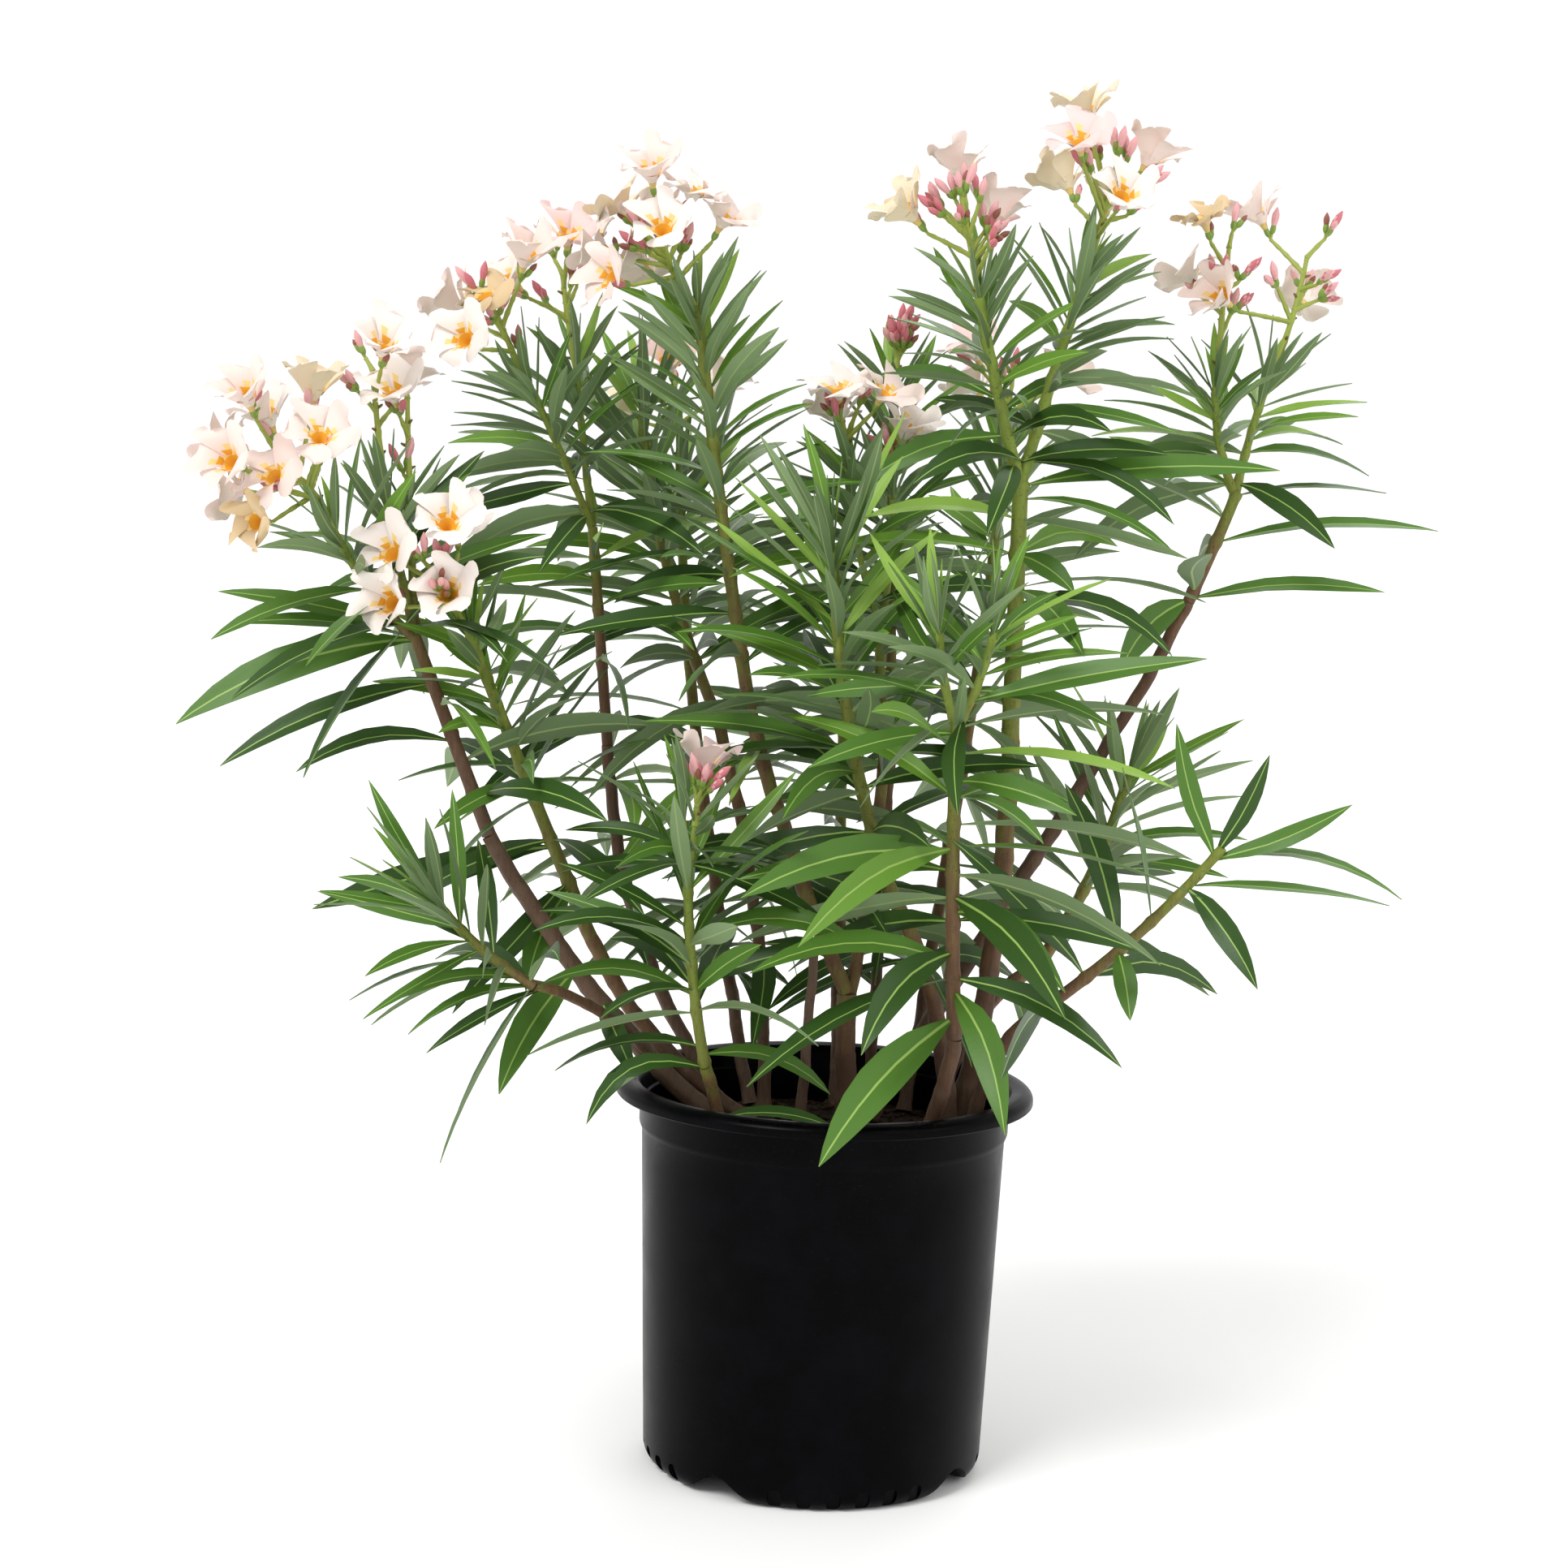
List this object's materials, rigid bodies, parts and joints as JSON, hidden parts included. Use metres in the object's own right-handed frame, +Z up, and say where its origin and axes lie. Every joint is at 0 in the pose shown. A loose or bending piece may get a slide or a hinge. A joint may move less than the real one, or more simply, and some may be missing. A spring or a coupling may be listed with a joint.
{
  "type": "potted oleander",
  "caption": "Flowering oleander shrub with many woody canes, whorled leathery leaves and pale pink flower clusters, standing in a round nursery pot of potting mix.",
  "frame": {"origin": "middle of the pot's flat underside", "axes": "+Z up through the pot's axis, -Y the side seen in the reference view, +X to the right as seen from there"},
  "size_m": [0.8214, 0.5768, 0.9238],
  "materials": {
    "pot": "satin moulded black polyethylene",
    "soil": "loose bark and peat potting mix",
    "cane": "grey-brown bark with raised leaf scars",
    "foliage": "leathery green leaves with pale midribs, pale pink flowers"
  },
  "bodies": {
    "root": {"pot": "pot", "soil": "soil", "cane_left": "cane", "cane_front_left": "cane", "cane_low_left": "cane", "cane_tall_left": "cane", "cane_snag": "cane", "cane_centre": "cane", "cane_inner_right": "cane", "cane_front_right": "cane", "cane_tall_right": "cane", "cane_far_right": "cane", "cane_back_low_right": "cane", "cane_low_right": "cane", "cane_inner_left": "cane", "cane_inner_back": "cane", "cane_back_left": "cane", "cane_back_right": "cane", "cane_back": "cane", "bough_low_left": "cane", "bough_centre": "cane", "bough_middle": "cane", "bough_far_right": "cane", "head_left": "foliage", "head_front_left": "foliage", "head_low_left": "foliage", "head_tall_left": "foliage", "head_ground_left": "foliage", "head_centre": "foliage", "head_inner_right": "foliage", "head_front_right": "foliage", "head_tall_right": "foliage", "head_far_right": "foliage", "head_back_low_right": "foliage", "head_low_right": "foliage", "head_inner_left": "foliage", "head_inner_back": "foliage", "head_middle": "foliage", "head_back_left": "foliage", "head_back_right": "foliage", "head_back": "foliage"}
  },
  "joints": []
}
